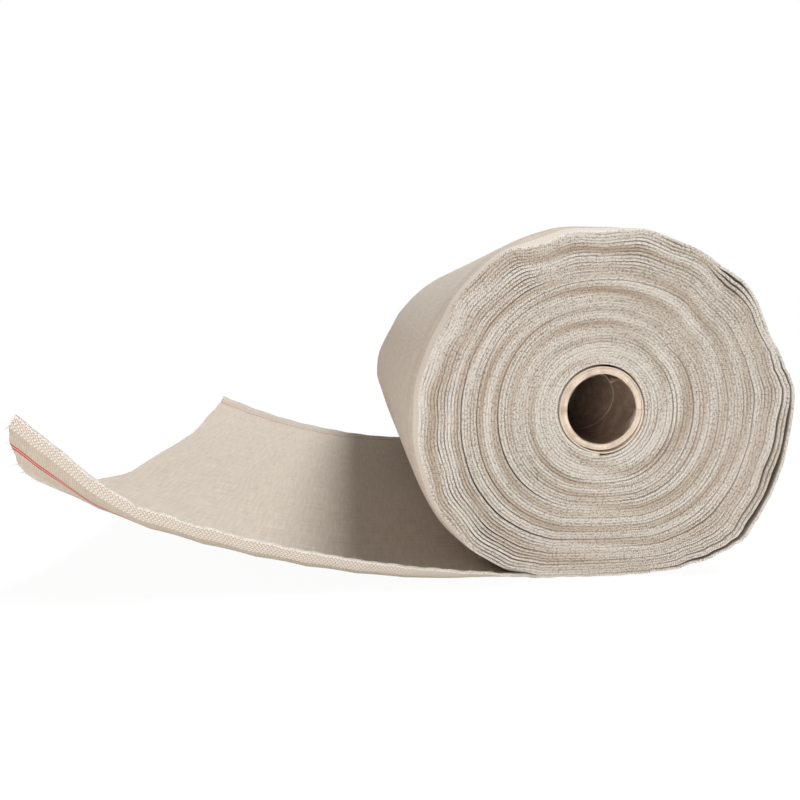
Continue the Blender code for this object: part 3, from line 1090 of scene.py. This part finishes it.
def linen_material(name, looks, stitch_depth, guide, warmth, speckle):
    """Material of the cloth: woven body, stitched selvedges, guide lines, hatched edges, painted
    shade.
    """
    material, tree, shader = new_material(name, 0.92)
    along, depth, through, tone, inside = surface_values(
        tree, "along", "depth", "through", "tone", "inside"
    )
    from_edge = depth.calc("MINIMUM", CLOTH_WIDTH - depth)
    weave = use_group(tree, plain_weave, Along=along, Depth=depth, Pitch=YARN_PITCH)
    stitches, ribs, lines = (
        use_group(tree, effect, Along=along, From_Edge=from_edge)
        for effect in (selvedge_stitches, selvedge_ribs, guide_lines)
    )
    hatch = use_group(tree, edge_hatch, Along=along, Through=through, From_Edge=from_edge)

    hollows = (1.0 - weave["Relief"]) * HOLLOW_SHADE
    body = blend_colours(tree, hollows, looks.linen, looks.shaded)
    slubs = (weave["Slub"] * SLUB_CONTRAST + 0.5).clamped()
    slubs = blend_colours(tree, slubs, looks.shaded, looks.selvedge)
    body = blend_colours(tree, SLUB_SHARE, body, slubs, "SOFT_LIGHT")
    # Firm strip: its grooves are its own pattern; the extra darkening on its under face is painted
    # shade
    groove = GROOVE_SHADE * stitch_depth
    grooves = (1.0 - ribs["Relief"].spread(*GROOVE_RANGE)) * groove + groove
    underside_shade = through.spread(-0.5, 0.5) * (1 - FACE_GROOVES) + FACE_GROOVES
    body = blend_colours(tree, grooves * (ribs["Band"] * underside_shade), body, RIB_SHADE)
    dips = (1.0 - stitches["Relief"].spread(*DIP_RANGE)) * (DIP_SHADE * stitch_depth)
    stitched = blend_colours(tree, STITCH_LINEN, looks.selvedge, looks.linen)
    stitched = blend_colours(tree, dips, stitched, looks.shaded)
    body = blend_colours(tree, stitches["Band"], body, stitched)

    pale = (-PALE_START - tone).clamped() * -PALE_SOFTNESS
    flecks = hatch["Fleck"].spread(*FLECK_RANGE)
    yarns = (1.0 - hatch["Relief"].spread(*VALLEY_RANGE)) * (pale + YARN_SHADE)
    specks = (1.0 - flecks) * (pale + SPECK_SHADE)
    edge = blend_colours(tree, (tone * warmth + WARM_SHARE).clamped(), EDGE_PALE, EDGE_WARM)
    edge = blend_colours(tree, yarns * speckle, edge, looks.shaded)
    edge = blend_colours(tree, specks * speckle, edge, EDGE_SPECK)
    colour = blend_colours(tree, hatch["Edge"], body, edge)
    colour = blend_colours(tree, lines["Mask"] * guide, colour, looks.guide)
    # Painted shade in the gaps between turns, on the faces that the attribute inside marks
    feed(shader.inputs["Base Color"], blend_colours(tree, inside * PAINTED_GAP_STRENGTH, colour, PAINTED_GAP_COLOUR))

    height = weave["Relief"] * WEAVE_HEIGHT + stitches["Relief"] * stitch_depth
    height = height + hatch["Relief"] * HATCH_HEIGHT + flecks * (hatch["Edge"] * FLECK_HEIGHT)
    add_bump(tree, shader, height + weave["Slub"] * SLUB_HEIGHT)
    shader.inputs["Sheen Weight"].default_value = 0.12
    return material


def card_material(name, colour, dark, roughness, seam, blotch):
    """Material of card and of its paper skins."""
    material, tree, shader = new_material(name, roughness)
    along, turned, layer = surface_values(tree, "along", "round", "layer")
    fibres = use_group(tree, card_fibres, Along=along, Round=turned, Layer=layer)
    darkened = (
        fibres["Fleck"].spread(*BLOTCH_RANGE) * blotch,
        fibres["Relief"].spread(*FIBRE_RANGE) * FIBRE_SHADE,
        fibres["Seam"] * seam,
    )
    for share in darkened:
        colour = blend_colours(tree, share, colour, dark)
    feed(shader.inputs["Base Color"], colour)
    add_bump(tree, shader, fibres["Relief"])
    return material


def thread_material(looks):
    """Material of loose threads and fibres, each with its own tone."""
    material, tree, shader = new_material("loose_threads", 0.9)
    (tone,) = surface_values(tree, "tone")
    colour = blend_colours(tree, (tone * 0.5 + 0.5).clamped(), looks.linen, looks.selvedge)
    feed(shader.inputs["Base Color"], colour)
    return material


def seen_rays(tree):
    """Mask of the rays from the camera, straight or by way of gloss or glass."""
    path = tree.nodes.new("ShaderNodeLightPath").outputs
    seen = Value(path["Is Camera Ray"])
    for kind in ("Is Glossy Ray", "Is Transmission Ray"):
        seen = seen.calc("MAXIMUM", Value(path[kind]))
    return seen


def make_floor(looks):
    """Make the pale floor, which shows white to the camera but keeps a soft shadow."""
    bpy.ops.mesh.primitive_grid_add(x_subdivisions=8, y_subdivisions=8, size=FLOOR_SIZE)
    floor = bpy.context.object
    floor.name = "floor"
    floor.location.z = -FLOOR_DROP
    material, tree, shader = new_material("pale_floor", 0.9)
    feed(shader.inputs["Base Color"], looks.floor)
    glow = tree.nodes.new("ShaderNodeEmission")
    feed(glow.inputs["Color"], WHITE)
    feed(glow.inputs["Strength"], FLOOR_WHITE)
    mix = tree.nodes.new("ShaderNodeMixShader")
    feed(mix.inputs[0], seen_rays(tree) * FLOOR_GLOW)
    tree.links.new(shader.outputs[0], mix.inputs[1])
    tree.links.new(glow.outputs[0], mix.inputs[2])
    tree.links.new(mix.outputs[0], tree.nodes["Material Output"].inputs["Surface"])
    floor.data.materials.append(material)


def light_stage(looks):
    """Light the roll from high on its right and softly from the front, before a white world."""
    sun = bpy.data.objects.new("sun", bpy.data.lights.new("sun", "SUN"))
    sun.data.energy = looks.sun
    sun.data.angle = SUN_SIZE
    sun.data.color = SUN_COLOUR
    sun.rotation_euler = SUN_TURN
    front = bpy.data.objects.new("front_light", bpy.data.lights.new("front_light", "AREA"))
    front.data.energy = looks.front
    front.data.shape = "RECTANGLE"
    front.data.size = FRONT_WIDTH
    front.data.size_y = FRONT_HEIGHT
    front.data.color = FRONT_COLOUR
    front.location = FRONT_PLACE
    aim = Vector(FRONT_AIM) - front.location
    front.rotation_euler = aim.to_track_quat("-Z", "Y").to_euler()
    for lamp in (sun, front):
        bpy.context.scene.collection.objects.link(lamp)
    world = bpy.data.worlds.new("white_world")
    world.use_nodes = True
    background = world.node_tree.nodes["Background"]
    seen = seen_rays(world.node_tree)
    colour = blend_colours(world.node_tree, seen, SKY_COLOUR, WHITE)
    feed(background.inputs["Color"], colour)
    feed(background.inputs["Strength"], seen * (1.0 - looks.sky) + looks.sky)
    bpy.context.scene.world = world


class PROVING_OT_set_stage(bpy.types.Operator):
    """Make the floor, the lights and the camera"""

    bl_idname = "proving.set_stage"
    bl_label = "Set stage"

    def execute(self, context):
        looks = context.scene.proving_stage
        camera = bpy.data.objects.new("camera", bpy.data.cameras.new("camera"))
        camera.location = CAMERA_PLACE
        camera.rotation_euler = CAMERA_TURN
        camera.data.lens = CAMERA_LENS
        camera.data.sensor_width = SENSOR_WIDTH
        camera.data.clip_start = 0.02
        context.scene.collection.objects.link(camera)
        context.scene.camera = camera
        make_floor(looks)
        light_stage(looks)
        context.scene.view_settings.view_transform = "Standard"
        return {"FINISHED"}


class PROVING_OT_mix_materials(bpy.types.Operator):
    """Make the linen, thread and card materials"""

    bl_idname = "proving.mix_materials"
    bl_label = "Mix materials"

    def execute(self, context):
        looks, core = context.scene.proving_cloth, context.scene.proving_core
        for effect, inputs, results in EFFECTS:
            build_group(effect, inputs, results)
        MATERIALS["wound"] = linen_material(
            "wound_linen", looks, stitch_depth=0.35, guide=0.0, warmth=0.45, speckle=1.0
        )
        MATERIALS["loose"] = linen_material(
            "loose_linen", looks, stitch_depth=0.35, guide=0.18, warmth=0.38, speckle=1.0
        )
        MATERIALS["laid"] = linen_material(
            "laid_linen", looks, stitch_depth=1.0, guide=1.0, warmth=0.10, speckle=0.4
        )
        MATERIALS["thread"] = thread_material(looks)
        MATERIALS["card"] = card_material(
            "card_wall", core.card, core.skin, roughness=0.85, seam=0.2, blotch=0.35
        )
        MATERIALS["skin"] = card_material(
            "card_lining", core.skin, core.card, roughness=0.6, seam=0.5, blotch=0.15
        )
        MATERIALS["cover"] = card_material(
            "card_cover", core.card, core.skin, roughness=0.8, seam=0.2, blotch=0.16
        )
        return {"FINISHED"}


class PROVING_OT_wind_roll(bpy.types.Operator):
    """Wind the cloth on its core, with its loose outer turns and stray fibres"""

    bl_idname = "proving.wind_roll"
    bl_label = "Wind roll"

    def execute(self, context):
        looks = context.scene.proving_cloth
        radii = wind_radii(looks)
        split = WAVY_TURNS * STEPS
        last = looks.turns * STEPS
        inner, inner_length, inner_near, inner_far = wind_stretch(
            "tight_turns", looks, radii, split, last, INNER_DEPTHS, MATERIALS["wound"]
        )
        outer, outer_length, outer_near, outer_far = wind_stretch(
            "loose_turns", looks, radii, 0, split, OUTER_DEPTHS, MATERIALS["loose"]
        )
        edges = np.concatenate([inner_near, outer_near]), np.concatenate([inner_far, outer_far])
        tips = np.concatenate(edges)
        outwards = np.repeat([NEARWARDS, -NEARWARDS], [len(edge) for edge in edges], axis=0)
        fibres = add_fibres("roll_fibres", tips, outwards, ROLL_FIBRES, 41, MATERIALS["thread"])
        for item in (inner, outer, fibres):
            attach(item, "wound_cloth")
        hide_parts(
            "cloth_first_turns", "cloth_inner_turns", "cloth_middle_turns",
            "cloth_outer_turns",
        )
        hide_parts("cloth_loose_turns")
        return {"FINISHED"}


class PROVING_OT_lay_end(bpy.types.Operator):
    """Lay the cloth's free end on the table, with its curled selvedge and frayed cut"""

    bl_idname = "proving.lay_end"
    bl_label = "Lay free end"

    def execute(self, context):
        looks = context.scene.proving_cloth
        sheet, middle, rows, length = lay_sheet(looks, MATERIALS["laid"])
        fringe = fray_cut(middle, rows, MATERIALS["thread"])
        edge = middle[:, 0]
        outwards = unit(edge - middle[:, 6])
        lip = add_fibres("lip_fibres", edge, outwards, LIP_FIBRES, 43, MATERIALS["thread"])
        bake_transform(sheet)
        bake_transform(lip)
        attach(fringe, "free_end")
        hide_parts("cloth_flat_run", "cloth_free_end")
        return {"FINISHED"}


class PROVING_OT_build_core(bpy.types.Operator):
    """Build the card tube with its torn ends, peeling lining and loose cover"""

    bl_idname = "proving.build_core"
    bl_label = "Build core"

    def execute(self, context):
        bore = context.scene.proving_core.bore
        lined, wall = bore + LINING_THICKNESS, CORE_WALL_RADIUS
        cover = wall + PLY_GAP
        covered = cover + COVER_THICKNESS
        layers = (
            ("core_tube", lined + PLY_GAP, wall, 9, bend_wall, "card", "core_wall", "core_card"),
            ("core_lining", bore, lined, 3, bend_lining, "skin", "core_inner_ply", "core_skin"),
            ("core_cover", cover, covered, 3, bend_cover, "cover", "core_outer_ply", "core_skin"),
        )
        for name, inner, outer, rows, bend, material, node, slot in layers:
            item = tube_piece(name, inner, outer, rows, bend, MATERIALS[material])
            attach(item, "core")
            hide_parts(node)
        return {"FINISHED"}


class PROVING_PT_panel(bpy.types.Panel):
    """Sidebar panel with every step of the roll"""

    bl_label = "Proving Cloth"
    bl_idname = "PROVING_PT_panel"
    bl_space_type = "VIEW_3D"
    bl_region_type = "UI"
    bl_category = "Proving Cloth"

    def draw(self, context):
        layout = self.layout
        for place, looks in LOOKS:
            for name in looks.__annotations__:
                layout.prop(getattr(context.scene, place), name)
        for step in STEPS_IN_ORDER:
            layout.operator(step.bl_idname)


STEPS_IN_ORDER = (
    PROVING_OT_set_stage, PROVING_OT_mix_materials, PROVING_OT_build_core, PROVING_OT_wind_roll,
    PROVING_OT_lay_end,
)
LOOKS = (("proving_cloth", ClothLooks), ("proving_core", CoreLooks), ("proving_stage", StageLooks))


def register():
    """Register the looks, the operators and the panel."""
    for name, looks in LOOKS:
        bpy.utils.register_class(looks)
        setattr(bpy.types.Scene, name, PointerProperty(type=looks))
    for item in (*STEPS_IN_ORDER, PROVING_PT_panel):
        bpy.utils.register_class(item)


def unregister():
    """Remove everything that register added."""
    for item in reversed((*STEPS_IN_ORDER, PROVING_PT_panel)):
        bpy.utils.unregister_class(item)
    for name, looks in reversed(LOOKS):
        delattr(bpy.types.Scene, name)
        bpy.utils.unregister_class(looks)


def main():
    """Build everything in order."""
    register()
    bpy.ops.proving.set_stage()
    bpy.ops.proving.mix_materials()
    bpy.ops.proving.build_core()
    bpy.ops.proving.wind_roll()
    bpy.ops.proving.lay_end()


if __name__ == "__main__":
    main()
